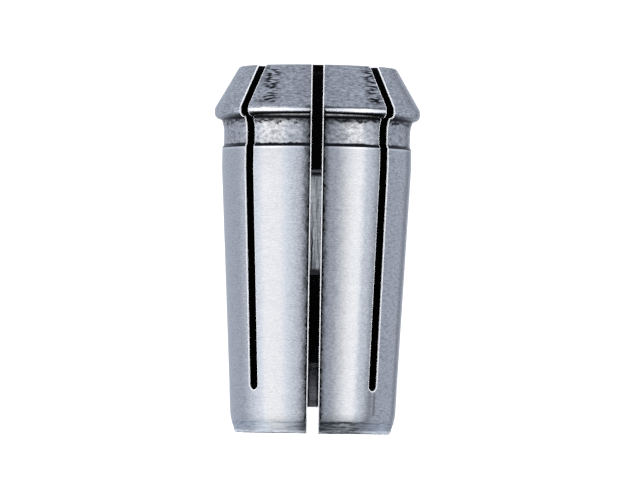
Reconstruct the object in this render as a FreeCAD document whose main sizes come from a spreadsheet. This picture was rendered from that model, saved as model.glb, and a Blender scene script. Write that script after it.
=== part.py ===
"""Half-inch router collet: one piece of steel, turned, bored, ground on its taper and slit.

Millimetres and degrees. The axis is Z, the tail face stands on Z = 0 and the nose points up. The split
that runs the whole length faces -Y, and the web that hinges the two halves is opposite it, at +Y.
"""
import FreeCAD
import Part
import Sketcher
import math
import os

NODE = "collet"

# Driving sizes. Diameters follow outwards from the bore, which the cutter's shank sets.

SIZES = {
    # Along the axis
    "overall_length": 40.0,
    "collar_width": 1.16,
    "neck_width": 2.83,
    "neck_flare_width": 1.15,
    "shoulder_width": 0.32,
    "land_width": 2.2,
    "tail_chamfer_width": 1.9,
    # Outside, as turned and ground
    "land_wall": 4.01,
    "collar_overhang": 0.89,
    "neck_depth": 0.24,
    "neck_flare_rise": 0.23,
    "nose_rim_width": 2.25,
    "nose_cone_half_angle": 30.0,
    "taper_per_length": 0.1,
    "tail_chamfer_half_angle": 15.0,
    # Broken and rounded edges
    "nose_edge_break": 0.1,
    "collar_rim_round": 0.9,
    "collar_underside_round": 0.65,
    "tail_edge_round": 0.3,
    # Inside: two honed lands grip the shank, with relief between them and a wider tail
    "bore_diameter": 12.7,
    "bore_lead_width": 0.4,
    "nose_grip_width": 10.9,
    "tail_grip_width": 9.7,
    "tail_bore_length": 7.8,
    "relief_depth": 0.25,
    "relief_end_width": 0.5,
    "tail_bore_depth": 0.35,
    "tail_rim_width": 1.0,
    "tail_mouth_width": 3.6,
    # Slits, and the notch that thins the hinge web
    "slit_width": 1.17,
    "slit_end_height": 4.7,
    "slit_spacing_angle": 45.0,
    "slits_each_side": 3,
    "hinge_notch_width": 1.3,
    "hinge_notch_height": 2.9,
}

# Radii and heights that follow from the driving sizes

BORE_RADIUS = "(Sizes.bore_diameter / 2)"
LAND_RADIUS = f"({BORE_RADIUS} + Sizes.land_wall)"
NECK_RADIUS = f"({LAND_RADIUS} - Sizes.neck_depth)"
COLLAR_RADIUS = f"({LAND_RADIUS} + Sizes.collar_overhang)"
NOSE_RADIUS = f"({BORE_RADIUS} + Sizes.nose_rim_width)"
CONE_FOOT = f"(Sizes.overall_length - ({COLLAR_RADIUS} - {NOSE_RADIUS}) / tan(Sizes.nose_cone_half_angle))"
UNDERSIDE = f"({CONE_FOOT} - Sizes.collar_width)"
NECK_FOOT = f"({UNDERSIDE} - Sizes.neck_width)"
LAND_TOP = f"({NECK_FOOT} - Sizes.shoulder_width)"
TAPER_TOP = f"({LAND_TOP} - Sizes.land_width)"
TAPER_FALL = f"(Sizes.taper_per_length / 2 * ({TAPER_TOP} - Sizes.tail_chamfer_width))"
TAPER_END_RADIUS = f"({LAND_RADIUS} - {TAPER_FALL})"
TAIL_RADIUS = f"({TAPER_END_RADIUS} - Sizes.tail_chamfer_width * tan(Sizes.tail_chamfer_half_angle))"

RELIEF_RADIUS = f"({BORE_RADIUS} + Sizes.relief_depth)"
TAIL_BORE_RADIUS = f"({BORE_RADIUS} + Sizes.tail_bore_depth)"
NOSE_GRIP_FOOT = "(Sizes.overall_length - Sizes.nose_grip_width)"
TAIL_GRIP_TOP = "(Sizes.tail_bore_length + Sizes.tail_grip_width)"
SLIT_END_MIDDLE = "(Sizes.slit_end_height + Sizes.slit_width / 2)"

# The turned outline from the nose down to the tail. Each corner is a radius and a height, and some
# have a round. A flare is an arc that runs from its corner into the wall below.
FLARE = "flare"
OUTSIDE = [
    ("0", "Sizes.overall_length"),
    (f"{NOSE_RADIUS} - Sizes.nose_edge_break", "Sizes.overall_length"),
    (f"{NOSE_RADIUS} + Sizes.nose_edge_break * tan(Sizes.nose_cone_half_angle)",
     "Sizes.overall_length - Sizes.nose_edge_break"),
    (COLLAR_RADIUS, CONE_FOOT, "Sizes.collar_rim_round"),
    (COLLAR_RADIUS, UNDERSIDE, "Sizes.collar_underside_round"),
    (f"{NECK_RADIUS} + Sizes.neck_flare_rise", UNDERSIDE, FLARE),
    (NECK_RADIUS, f"{UNDERSIDE} - Sizes.neck_flare_width"),
    (NECK_RADIUS, NECK_FOOT),
    (LAND_RADIUS, LAND_TOP),
    (LAND_RADIUS, TAPER_TOP),
    (TAPER_END_RADIUS, "Sizes.tail_chamfer_width"),
    (TAIL_RADIUS, "0", "Sizes.tail_edge_round"),
    ("0", "0"),
]

# The bored outline from the nose down to the tail
INSIDE = [
    ("0", "Sizes.overall_length"),
    (f"{BORE_RADIUS} + Sizes.bore_lead_width", "Sizes.overall_length"),
    (BORE_RADIUS, "Sizes.overall_length - Sizes.bore_lead_width"),
    (BORE_RADIUS, NOSE_GRIP_FOOT),
    (RELIEF_RADIUS, f"{NOSE_GRIP_FOOT} - Sizes.relief_end_width"),
    (RELIEF_RADIUS, f"{TAIL_GRIP_TOP} + Sizes.relief_end_width"),
    (BORE_RADIUS, TAIL_GRIP_TOP),
    (BORE_RADIUS, "Sizes.tail_bore_length"),
    (TAIL_BORE_RADIUS, "Sizes.tail_bore_length - Sizes.relief_end_width"),
    (TAIL_BORE_RADIUS, "Sizes.tail_mouth_width"),
    (f"{TAIL_RADIUS} - Sizes.tail_rim_width", "0"),
    ("0", "0"),
]

# How a sketch names its own origin and axes, and the points of an edge
ORIGIN_POINT = (-1, 1)
DIRECTIONS = (("DistanceX", -2), ("DistanceY", -1))
START, END, CENTRE = range(1, 4)


def make_sheet(doc):
    """The spreadsheet that every sketch and feature is bound to."""
    sheet = doc.addObject("Spreadsheet::Sheet", "Sizes")
    for row, (name, value) in enumerate(SIZES.items(), start=1):
        sheet.set(f"A{row}", name)
        sheet.set(f"B{row}", str(value))
        sheet.setAlias(f"B{row}", name)
    doc.recompute()


# Sketches


def own_origin(body, role):
    """The body's own origin plane or axis that has this role."""
    return next(item for item in body.Origin.OriginFeatures if item.Role == role)


def new_sketch(body, name):
    """An empty sketch on the upright plane through the axis, seen from the front."""
    sketch = body.newObject("Sketcher::SketchObject", name)
    sketch.AttachmentSupport = [(own_origin(body, "XZ_Plane"), "")]
    sketch.MapMode = "FlatFace"
    return sketch


def corner_now(sketch, corner):
    """A corner's place at the sheet's present values."""
    across, up = (float(sketch.evalExpression(text)) for text in corner[:2])
    return FreeCAD.Vector(across, up, 0)


def tie(sketch, edge, end, corner):
    """Ties one end of an edge to the corner's two expressions, measured from the origin."""
    for (kind, axis), distance, text in zip(DIRECTIONS, corner_now(sketch, corner), corner):
        if text == "0":
            sketch.addConstraint(Sketcher.Constraint("PointOnObject", edge, end, axis))
        else:
            index = sketch.addConstraint(Sketcher.Constraint(kind, *ORIGIN_POINT, edge, end, distance))
            sketch.setExpression(f"Constraints[{index}]", text)


def flare_arc(high, low):
    """The arc from the high corner that runs down into a straight wall at the low corner."""
    rise = high.x - low.x
    width = high.y - low.y
    radius = (rise ** 2 + width ** 2) / (2 * rise)
    circle = Part.Circle(low + FreeCAD.Vector(radius, 0, 0), FreeCAD.Vector(0, 0, 1), radius)
    return Part.ArcOfCircle(circle, circle.parameter(high), circle.parameter(low))


def draw_outline(sketch, corners):
    """Closes an outline through the corners, with the rounds and the flare that they name."""
    places = [corner_now(sketch, corner) for corner in corners]
    forms = [corner[2] if len(corner) > 2 else None for corner in corners]
    starts = list(places)
    ends = places[1:] + places[:1]
    circles = {}
    for number, form in enumerate(forms):
        if form in (None, FLARE):
            continue
        radius = float(sketch.evalExpression(form))
        back = (places[number - 1] - places[number]).normalize()
        ahead = (ends[number] - places[number]).normalize()
        half = back.getAngle(ahead) / 2
        centre = places[number] + (back + ahead).normalize() * (radius / math.sin(half))
        reach = radius / math.tan(half)
        ends[number - 1] = places[number] + back * reach
        starts[number] = places[number] + ahead * reach
        circles[number] = Part.Circle(centre, FreeCAD.Vector(0, 0, 1), radius)
    for start, end, form in zip(starts, ends, forms):
        sketch.addGeometry(flare_arc(start, end) if form == FLARE else Part.LineSegment(start, end))
    for number, corner in enumerate(corners):
        before = (number - 1) % len(corners)
        if number in circles:
            add_round(sketch, before, number, circles[number], corner)
            continue
        joint = "Tangent" if forms[before] == FLARE else "Coincident"
        tie(sketch, number, START, corner)
        sketch.addConstraint(Sketcher.Constraint(joint, before, END, number, START))


def add_round(sketch, before, after, circle, corner):
    """Rounds the corner between two edges, with the sharp corner kept as a construction point."""
    first = sketch.Geometry[before].EndPoint
    second = sketch.Geometry[after].StartPoint
    if (first - circle.Center).cross(second - circle.Center).z > 0:
        arc = Part.ArcOfCircle(circle, circle.parameter(first), circle.parameter(second))
        joins = (START, END)
    else:
        arc = Part.ArcOfCircle(circle, circle.parameter(second), circle.parameter(first))
        joins = (END, START)
    rounded = sketch.addGeometry(arc)
    sharp = sketch.addGeometry(Part.Point(corner_now(sketch, corner)), True)
    tie(sketch, sharp, START, corner)
    sketch.addConstraint(Sketcher.Constraint("PointOnObject", sharp, START, before))
    sketch.addConstraint(Sketcher.Constraint("PointOnObject", sharp, START, after))
    sketch.addConstraint(Sketcher.Constraint("Tangent", before, END, rounded, joins[0]))
    sketch.addConstraint(Sketcher.Constraint("Tangent", rounded, joins[1], after, START))
    index = sketch.addConstraint(Sketcher.Constraint("Radius", rounded, circle.Radius))
    sketch.setExpression(f"Constraints[{index}]", corner[2])


# Features


def revolve(body, kind, name, corners):
    """Turns an outline about the axis, as solid or as a cut."""
    sketch = new_sketch(body, f"{name}_outline")
    draw_outline(sketch, corners)
    feature = body.newObject(kind, name)
    feature.Profile = sketch
    feature.ReferenceAxis = (sketch, ["V_Axis"])
    feature.Angle = 360
    body.Document.recompute()
    return feature


def saw(body, name, sketch, towards_front):
    """Cuts the sketch's slot out through the wall on one side of the axis."""
    feature = body.newObject("PartDesign::Pocket", name)
    feature.Profile = sketch
    feature.Type = "ThroughAll"
    feature.Reversed = towards_front
    body.Document.recompute()
    return feature


def slit_sketch(body):
    """The slit from the nose, with the round end that its cutter leaves.

    The sketch stands off the axis, inside the bore, so that neighbouring slits meet nowhere.
    """
    sketch = new_sketch(body, "slit_outline")
    sketch.setExpression("AttachmentOffset.Base.z", "Sizes.bore_diameter / 4")
    mouth_left = ("-Sizes.slit_width / 2", "Sizes.overall_length")
    mouth_right = ("Sizes.slit_width / 2", "Sizes.overall_length")
    end_middle = ("0", SLIT_END_MIDDLE)
    top_left = corner_now(sketch, mouth_left)
    top_right = corner_now(sketch, mouth_right)
    middle = corner_now(sketch, end_middle)
    low_left = FreeCAD.Vector(top_left.x, middle.y, 0)
    low_right = FreeCAD.Vector(top_right.x, middle.y, 0)
    circle = Part.Circle(middle, FreeCAD.Vector(0, 0, 1), top_right.x)
    left = sketch.addGeometry(Part.LineSegment(top_left, low_left))
    end = sketch.addGeometry(Part.ArcOfCircle(circle, math.pi, 2 * math.pi))
    right = sketch.addGeometry(Part.LineSegment(low_right, top_right))
    mouth = sketch.addGeometry(Part.LineSegment(top_right, top_left))
    tie(sketch, left, START, mouth_left)
    tie(sketch, mouth, START, mouth_right)
    sketch.addConstraint(Sketcher.Constraint("Vertical", left))
    sketch.addConstraint(Sketcher.Constraint("Vertical", right))
    sketch.addConstraint(Sketcher.Constraint("Tangent", left, END, end, START))
    sketch.addConstraint(Sketcher.Constraint("Tangent", end, END, right, START))
    sketch.addConstraint(Sketcher.Constraint("Coincident", right, END, mouth, START))
    sketch.addConstraint(Sketcher.Constraint("Coincident", mouth, END, left, START))
    height = Sketcher.Constraint("DistanceY", *ORIGIN_POINT, end, CENTRE, middle.y)
    sketch.setExpression(f"Constraints[{sketch.addConstraint(height)}]", SLIT_END_MIDDLE)
    return sketch


def slot_sketch(body, name, width, top):
    """A square-ended slot that rises from the tail face."""
    sketch = new_sketch(body, f"{name}_outline")
    left = f"-Sizes.{width} / 2"
    right = f"Sizes.{width} / 2"
    draw_outline(sketch, [(left, top), (left, "0"), (right, "0"), (right, top)])
    return sketch


def turn_copies(body, name, cut, clockwise):
    """Repeats the front slit round one side of the collet."""
    pattern = body.newObject("PartDesign::PolarPattern", name)
    pattern.Originals = [cut]
    pattern.Axis = (own_origin(body, "Z_Axis"), [""])
    pattern.Reversed = clockwise
    pattern.Mode = "Spacing"
    pattern.setExpression("Offset", "Sizes.slit_spacing_angle")
    pattern.setExpression("Occurrences", "Sizes.slits_each_side + 1")
    body.Tip = pattern
    body.Document.recompute()
    return pattern


def make_collet(doc):
    """Turned blank, bore, slits from the nose, the split's last stretch and the hinge notch."""
    body = doc.addObject("PartDesign::Body", NODE)
    body.Label = NODE
    doc.recompute()
    steps = [
        revolve(body, "PartDesign::Revolution", "turned_blank", OUTSIDE),
        revolve(body, "PartDesign::Groove", "bored_through", INSIDE),
    ]
    front_slit = saw(body, "front_slit", slit_sketch(body), towards_front=True)
    steps.append(front_slit)
    steps.append(turn_copies(body, "slits_on_the_right", front_slit, clockwise=False))
    steps.append(turn_copies(body, "slits_on_the_left", front_slit, clockwise=True))
    sketch = slot_sketch(body, "front_split", "slit_width", SLIT_END_MIDDLE)
    steps.append(saw(body, "front_split", sketch, towards_front=True))
    sketch = slot_sketch(body, "hinge_notch", "hinge_notch_width", "Sizes.hinge_notch_height")
    steps.append(saw(body, "hinge_notch", sketch, towards_front=False))
    return steps


def check(doc, steps):
    """Stops if an object failed, a cut took nothing away, or the part is not one valid solid."""
    for item in doc.Objects:
        if "Invalid" in item.State or "Error" in item.State:
            raise RuntimeError(f"{item.Name} failed: {item.State}")
    for before, after in zip(steps, steps[1:]):
        if after.Shape.Volume >= before.Shape.Volume:
            raise RuntimeError(f"{after.Name} cut nothing")
    shape = doc.getObject(NODE).Shape
    if shape.isNull() or not shape.isValid() or len(shape.Solids) != 1:
        raise RuntimeError(f"{NODE} is not one valid solid")
    print(f"{NODE}: {shape.Volume:.1f} mm3, {len(shape.Faces)} faces")


def main():
    doc = FreeCAD.newDocument("router_collet")
    make_sheet(doc)
    steps = make_collet(doc)
    check(doc, steps)
    os.makedirs("parts", exist_ok=True)
    doc.getObject(NODE).Shape.exportStep(f"parts/{NODE}.step")


main()
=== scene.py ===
# %% [markdown]
# A slit steel collet, dressed for its photograph
#
# A collet is one piece of steel that grips a cutter's shank. It is turned, bored, slit from the nose,
# hardened, and last of all ground on its taper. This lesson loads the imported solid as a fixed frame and
# builds one dressed piece in its place: the same form, with the small things that a grinder and a saw
# leave behind.

import math

import bpy
import numpy as np
from mathutils import Matrix, Vector


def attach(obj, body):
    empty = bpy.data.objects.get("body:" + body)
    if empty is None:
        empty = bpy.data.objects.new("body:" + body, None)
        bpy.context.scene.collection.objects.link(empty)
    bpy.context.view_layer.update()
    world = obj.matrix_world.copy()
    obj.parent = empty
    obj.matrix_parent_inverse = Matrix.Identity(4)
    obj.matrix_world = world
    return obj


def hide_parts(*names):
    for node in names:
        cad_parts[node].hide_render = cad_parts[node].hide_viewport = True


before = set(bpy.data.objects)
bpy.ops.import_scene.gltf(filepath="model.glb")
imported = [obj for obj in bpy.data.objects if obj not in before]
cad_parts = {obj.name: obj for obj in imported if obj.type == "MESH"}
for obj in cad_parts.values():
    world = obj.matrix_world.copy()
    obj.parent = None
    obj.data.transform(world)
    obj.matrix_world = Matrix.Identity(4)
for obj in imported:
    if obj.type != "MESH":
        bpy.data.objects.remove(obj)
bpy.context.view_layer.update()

# %% [markdown]
# A lathe makes a shape that is the same all the way round, so half a section says all of it. Spin could
# turn that section into a body, but its slits would then need boolean cuts, which leave ragged edges. So
# the section becomes the rows of a grid instead, and the openings are cut along the grid. The corners are
# listed from the tail up the outside, over the nose and down the bore, in millimetres as on a drawing. A
# corner may have a round. The finish that follows it is named beside it, because steel looks different
# where it was ground, turned or honed.

# %% Corners of the section
MM = 0.001
FINISHES = ["tail_face", "tail_chamfer", "ground", "shoulder", "groove", "collar", "cone", "nose_face",
            "lead", "honed", "relief", "tail_bore", "tail_mouth", "slit_wall", "slit_end",
            "edge_break"]
LAND, NECK, COLLAR, NOSE = 10.36, 10.19, 11.25, 8.6
TOP, CONE_FOOT, UNDERSIDE, NECK_FOOT, LAND_TOP = 40.0, 35.41, 34.25, 31.42, 31.1
FLARE_FOOT, FLARE_RISE = 32.7, 0.31
RIM, RIM_SPREAD = 0.1, 0.058
GRIP, CLEARANCE, TAIL_BORE = 6.35, 6.60, 6.70
outside = [
    (8.501, 0.0, 0.3, "tail_chamfer"),
    (9.010, 1.9, 5.0, "ground"),
    (LAND, 28.9, 0, "ground"),
    (LAND, LAND_TOP, 0.12, "shoulder"),
    (NECK, NECK_FOOT, 0, "groove"),
    (NECK, FLARE_FOOT, 0, "groove"),
    (NECK + FLARE_RISE, UNDERSIDE, 0, "collar"),
    (COLLAR, UNDERSIDE, 0.65, "collar"),
    (COLLAR, CONE_FOOT, 0.9, "cone"),
    (NOSE + RIM_SPREAD, TOP - RIM, 0, "nose_face"),
    (NOSE - RIM, TOP, 0, "nose_face"),
]
inside = [
    (6.75, TOP, 0, "lead"),
    (GRIP, 39.6, 0, "honed"),
    (GRIP, 29.1, 0, "relief"),
    (CLEARANCE, 28.6, 0, "relief"),
    (CLEARANCE, 18.0, 0, "relief"),
    (GRIP, 17.5, 0, "honed"),
    (GRIP, 7.8, 0, "tail_bore"),
    (TAIL_BORE, 7.3, 0, "tail_bore"),
    (TAIL_BORE, 3.6, 0, "tail_mouth"),
    (7.501, 0.0, 0, "tail_face"),
]
print("corners:", len(outside), "outside,", len(inside), "inside")

# %% [markdown]
# A round is an arc that touches both of its lines. The neck under the collar isn't straight: it swells
# out in a shallow flare. Neck and flare are as the real outline has them, up to 0.15 mm fuller than in
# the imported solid. Rows are added at the heights where a slit or the hinge notch ends, and on long lines
# too, so that the openings can be cut along the grid instead of across it.

# %% From corners to rows
ROUND_STEPS = 8
FLARE_STEPS = 6


def arc_between(corner, before, after, radius):
    """Points of the round that touches the lines from the corner to its two neighbours."""
    back = (before - corner) / np.linalg.norm(before - corner)
    ahead = (after - corner) / np.linalg.norm(after - corner)
    half = math.acos(float(back @ ahead)) / 2
    middle = corner + (back + ahead) / np.linalg.norm(back + ahead) * radius / math.sin(half)
    first = corner + back * radius / math.tan(half) - middle
    last = corner + ahead * radius / math.tan(half) - middle
    turn = math.atan2(first[0] * last[1] - first[1] * last[0], float(first @ last))
    points = []
    for step in range(ROUND_STEPS + 1):
        angle = turn * step / ROUND_STEPS
        spun = np.array([[math.cos(angle), -math.sin(angle)], [math.sin(angle), math.cos(angle)]]) @ first
        points.append(middle + spun)
    return points


def flare_between(low, high):
    """Points of the arc that leaves the straight neck at the low end and swells out to the high end."""
    rise, width = high - low
    radius = (rise ** 2 + width ** 2) / (2 * rise)
    sweep = math.asin(width / radius)
    angles = [sweep * step / FLARE_STEPS for step in range(1, FLARE_STEPS)]
    return [low + np.array([radius * (1 - math.cos(a)), radius * math.sin(a)]) for a in angles]


def rows_of(corners, closing):
    """Rows of radius, height and the finish that follows. The flat tail face leads to the first corner."""
    places = [np.array(corner[:2]) for corner in corners]
    rows = []
    for number, (place, corner) in enumerate(zip(places, corners)):
        after = places[number + 1] if number + 1 < len(places) else closing
        before = places[number - 1] if number else np.array([place[0] - 1.0, place[1]])
        radius, finish = corner[2:]
        points = arc_between(place, before, after, radius) if radius else [place]
        rows += [(*point, finish) for point in points]
        if corner[1] == FLARE_FOOT:
            rows += [(*point, finish) for point in flare_between(place, after)]
    return rows


section = rows_of(outside, np.array(inside[0][:2])) + rows_of(inside, np.array(outside[0][:2]))
print("rows before the openings:", len(section))

# %% [markdown]
# The saw stops 4.7 mm above the tail and leaves a round end. Opposite the full split, a small square
# notch thins the web that acts as the hinge. Every sawn edge is broken by a small round. A Bevel modifier
# could make it, but it would fold over itself where a slit crosses the narrow bands of the collar. So the
# round is built as a few rings of vertices that follow the opening's outline, and the rings get rows of
# their own.

# %% Rings of a broken edge
SLIT_HALF = 0.585
NOTCH_HALF = 0.65
SLIT_FOOT = 4.7
SLIT_END = SLIT_FOOT + SLIT_HALF
NOTCH_TOP = 2.9
BREAK = 0.11
RINGS = 3
RING_STEP = 0.07
OUTER_RING = 0.03
BELOW_SLIT = 0.45
ring_angles = [math.pi / 2 * ring / RINGS for ring in range(RINGS + 1)]
ring_reach = [BREAK * (1 - math.cos(a)) for a in ring_angles]
ring_depth = [BREAK * (1 - math.sin(a)) for a in ring_angles]
ring_reach.append(BREAK + OUTER_RING)
ring_depth.append(0.0)
slit_rows = [SLIT_END + (RINGS + 1 - ring) * RING_STEP for ring in range(RINGS + 2)]
notch_rows = [NOTCH_TOP + reach for reach in ring_reach]
extra_heights = slit_rows + notch_rows + [SLIT_FOOT - BELOW_SLIT]
print("ring reach (mm):", np.round(ring_reach, 3), "depth (mm):", np.round(ring_depth, 3))

# %% [markdown]
# The extra heights are worked into the outside and the inside, long bands are shared out into shorter
# ones, and the result is a closed loop: tail, outside, nose, bore and back to the tail.

# %% Work the extra rows in
LONGEST_BAND = 1.5
CLOSE = 1e-6


def with_extra_rows(rows):
    """Splits each band at the extra heights, and into pieces no longer than LONGEST_BAND."""
    result = []
    for first, last in zip(rows, rows[1:] + rows[:1]):
        start, end = np.array(first[:2]), np.array(last[:2])
        cuts = [0.0]
        for height in extra_heights:
            if min(start[1], end[1]) + CLOSE < height < max(start[1], end[1]) - CLOSE:
                cuts.append((height - start[1]) / (end[1] - start[1]))
        cuts = sorted(cuts)
        for cut, following in zip(cuts, cuts[1:] + [1.0]):
            length = np.linalg.norm(end - start) * (following - cut)
            pieces = max(1, math.ceil(length / LONGEST_BAND))
            for piece in range(pieces):
                share = cut + (following - cut) * piece / pieces
                result.append((*(start + (end - start) * share), first[2]))
    return result


section = with_extra_rows(section)
line = np.array([row[:2] for row in section])
band_finish = [FINISHES.index(row[2]) for row in section]
ROWS = len(line)
print("rows in the loop:", ROWS)

# %% [markdown]
# The inner rings of a broken edge lie a little under the surface. Moving each vertex along its own normal
# would pinch the rings at a sharp corner. So each ring follows the whole section at a small depth, and a
# corner moves along the line between its two faces, as a draughtsman offsets an outline.

# %% The section at a small depth
def sunk_line(depth):
    """The section moved into the steel by a depth."""
    before = line - np.roll(line, 1, axis=0)
    after = np.roll(line, -1, axis=0) - line
    sides = []
    for edge in (before, after):
        edge = edge / np.linalg.norm(edge, axis=1)[:, None]
        sides.append(np.stack([-edge[:, 1], edge[:, 0]], axis=1))
    share = 1 + (sides[0] * sides[1]).sum(axis=1)
    return line + (sides[0] + sides[1]) / share[:, None] * depth


sunk = [sunk_line(depth) for depth in ring_depth]
print("deepest ring moves the nose face to", round(float(sunk[0][:, 1].max()), 3), "mm")

# %% [markdown]
# The collet repeats every 45 degrees, so one eighth is enough, with its opening in the middle. There are
# three kinds: one that is split from end to end, one with a slit from the nose, and one that holds the
# hinge web. The columns of the grid follow the opening's walls, and the rings bend round its end.

# %% Columns of an eighth
ACROSS = 7
SIDE_COLUMNS = 12
EIGHTH = math.radians(45)
LAST_RING = RINGS + 1
MIDDLE = ACROSS + LAST_RING + SIDE_COLUMNS
WIDTH = 2 * MIDDLE + 1


def column_places(radius, half):
    """Sideways places of the columns right of the middle, on a row of this radius."""
    places = [half * column / ACROSS for column in range(ACROSS)]
    places += [half + reach for reach in ring_reach]
    first = math.asin(places[-1] / radius)
    for column in range(1, SIDE_COLUMNS + 1):
        angle = first + (EIGHTH / 2 - first) * column / SIDE_COLUMNS
        places.append(radius * math.sin(angle))
    return places


def grid_of(half):
    """The eighth without an opening: rows, columns, and for each the place across, back and up."""
    grid = np.zeros((ROWS, WIDTH, 3))
    for row, (radius, height) in enumerate(line):
        for column, across in enumerate(column_places(radius, half)):
            depth = math.sqrt(radius ** 2 - across ** 2)
            grid[row, MIDDLE + column] = (across, -depth, height)
            grid[row, MIDDLE - column] = (-across, -depth, height)
    return grid


print("columns in an eighth:", WIDTH)

# %% [markdown]
# `rows_open` lists the rows that an opening passes, in order. There the columns beside it sink by the
# depth of their ring. Every vertex has a twin on the other side of the middle, so one call moves both.

# %% Sink the rings beside an opening
NOSE_ROW = int(line[:, 1].argmax())


def rows_on(outer):
    """The rows of the outside, or of the inside."""
    return range(NOSE_ROW) if outer else range(NOSE_ROW, ROWS)


def row_at(height, outer):
    """The row at one of the extra heights, outside or inside."""
    return next(row for row in rows_on(outer) if abs(line[row, 1] - height) < CLOSE)


def radius_at(height, outer):
    """The section's radius at a height near the tail, outside or inside."""
    side = sorted((tuple(line[row]) for row in rows_on(outer)), key=lambda place: place[1])
    return float(np.interp(height, [place[1] for place in side], [place[0] for place in side]))


def put(grid, row, column, across, radius, height):
    """Moves one vertex, and its twin on the other side of the middle."""
    back = -math.sqrt(radius ** 2 - across ** 2)
    grid[row, MIDDLE + column] = (across, back, height)
    grid[row, MIDDLE - column] = (-across, back, height)


def sink_beside(grid, half, rows_open):
    """Sinks the columns beside an opening to the depths of their rings."""
    for row in rows_open:
        for ring, reach in enumerate(ring_reach):
            radius, height = sunk[ring][row]
            put(grid, row, ACROSS + ring, half + reach, radius, height)


print("rows outside and inside:", len(rows_on(True)), len(rows_on(False)))

# %% [markdown]
# At the end of an opening the rings are laid, one by one, along the end's own outline: a half circle for
# a slit, a straight line for the notch. A boolean cut could make either end, but its edges would have no
# rings, so there would be nothing to round.

# %% Bend the rings round an end
def bend_round(grid, outer):
    """Lays the rings round the half circle at a slit's end."""
    for ring, reach in enumerate(ring_reach):
        row = row_at(slit_rows[ring], outer)
        half = SLIT_HALF + reach
        last = ACROSS + ring
        side = 1 if outer else -1
        for column in range(last + 1):
            angle = math.pi / 2 * column / last
            height = SLIT_END - half * math.cos(angle)
            radius = radius_at(height, outer) - side * ring_depth[ring]
            put(grid, row, column, half * math.sin(angle), radius, height)
        for further in range(ring + 1, LAST_RING + 1):
            height = SLIT_END + (further - ring) * RING_STEP
            radius = radius_at(height, outer) - side * ring_depth[further]
            put(grid, row, ACROSS + further, SLIT_HALF + ring_reach[further], radius, height)


def bend_square(grid, outer):
    """Lays the rings along the notch's straight top."""
    for ring, reach in enumerate(ring_reach):
        height = NOTCH_TOP + reach
        row = row_at(height, outer)
        last = ACROSS + ring
        side = 1 if outer else -1
        for column in range(last + 1):
            radius = radius_at(height, outer) - side * ring_depth[ring]
            put(grid, row, column, (NOTCH_HALF + reach) * column / last, radius, height)
        for further in range(ring + 1, LAST_RING + 1):
            radius = radius_at(height, outer) - side * ring_depth[further]
            put(grid, row, ACROSS + further, NOTCH_HALF + ring_reach[further], radius, height)


print("rings at a slit's end start at", np.round(slit_rows, 2), "mm")

# %% [markdown]
# Every cell of the grid becomes a face, apart from those inside the opening. The opening's own walls are
# flat, so each one is a single many-sided face, and the end of the opening is a strip that joins the
# outside to the bore. Each face carries its finish as a number, because the row that it lies on is known
# here and would be hard to find again on the finished mesh.

# %% Faces of an eighth
def rings_away(row, column, open_rows):
    """How many rings a cell is from the opening: 0 is inside it, 1 touches its wall."""
    beside = max(abs(column), abs(column + 1)) - ACROSS
    step = (row - open_rows[0]) % ROWS
    inside_run = len(open_rows) == ROWS or step < len(open_rows) - 1
    beyond = 0 if inside_run else min(step - len(open_rows) + 2, ROWS - step)
    return max(beside, beyond, 0)


def vertex(row, column):
    """The number of a vertex of the grid."""
    return (row % ROWS) * WIDTH + MIDDLE + column


def faces_of(open_rows, ended):
    """The faces of an eighth and the finish of each. An ended opening has a strip of faces at its end."""
    faces, finishes = [], []
    for row in range(ROWS):
        for column in range(-MIDDLE, MIDDLE):
            ring = rings_away(row, column, open_rows)
            if ring:
                faces.append((vertex(row, column), vertex(row, column + 1),
                              vertex(row + 1, column + 1), vertex(row + 1, column)))
                finishes.append(FINISHES.index("edge_break") if ring <= RINGS else band_finish[row])
    for side in (-ACROSS, ACROSS):
        wall = [vertex(row, side) for row in open_rows]
        faces.append(wall if side > 0 else wall[::-1])
        finishes.append(FINISHES.index("slit_wall"))
    if ended:
        first, last = open_rows[0], open_rows[-1]
        for column in range(-ACROSS, ACROSS):
            faces.append((vertex(first, column), vertex(first, column + 1),
                          vertex(last, column + 1), vertex(last, column)))
            finishes.append(FINISHES.index("slit_end"))
    return faces, finishes


print("cells in an eighth without an opening:", ROWS * (WIDTH - 1))

# %% [markdown]
# Each kind of eighth is the same grid with another opening. The rows of the opening are a run that may
# pass the tail, because the rows are a loop: the notch's run starts inside, crosses the tail face and
# ends outside.

# %% Build the eighths
def eighth(name, half, open_rows, bend):
    """One eighth of the collet. open_rows are the rows that the opening passes, as a cyclic run."""
    grid = grid_of(half)
    sink_beside(grid, half, open_rows)
    if bend:
        bend(grid, outer=True)
        bend(grid, outer=False)
    faces, finishes = faces_of(open_rows, ended=bend is not None)
    mesh = bpy.data.meshes.new(name)
    mesh.from_pydata((grid.reshape(-1, 3) * MM).tolist(), [], faces)
    mesh.attributes.new("finish", "INT", "FACE").data.foreach_set("value", finishes)
    piece = bpy.data.objects.new(name, mesh)
    bpy.context.scene.collection.objects.link(piece)
    print(f"{name}: {len(faces)} faces")
    return piece


slit_open = list(range(row_at(slit_rows[0], True), row_at(slit_rows[0], False) + 1))
notch_open = list(range(row_at(notch_rows[0], False), ROWS)) + list(range(row_at(notch_rows[0], True) + 1))
eighths = {
    "Split eighth": eighth("split_eighth", SLIT_HALF, list(range(ROWS)), None),
    "Slit eighth": eighth("slit_eighth", SLIT_HALF, slit_open, bend_round),
    "Hinge eighth": eighth("hinge_eighth", NOTCH_HALF, notch_open, bend_square),
}

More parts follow.
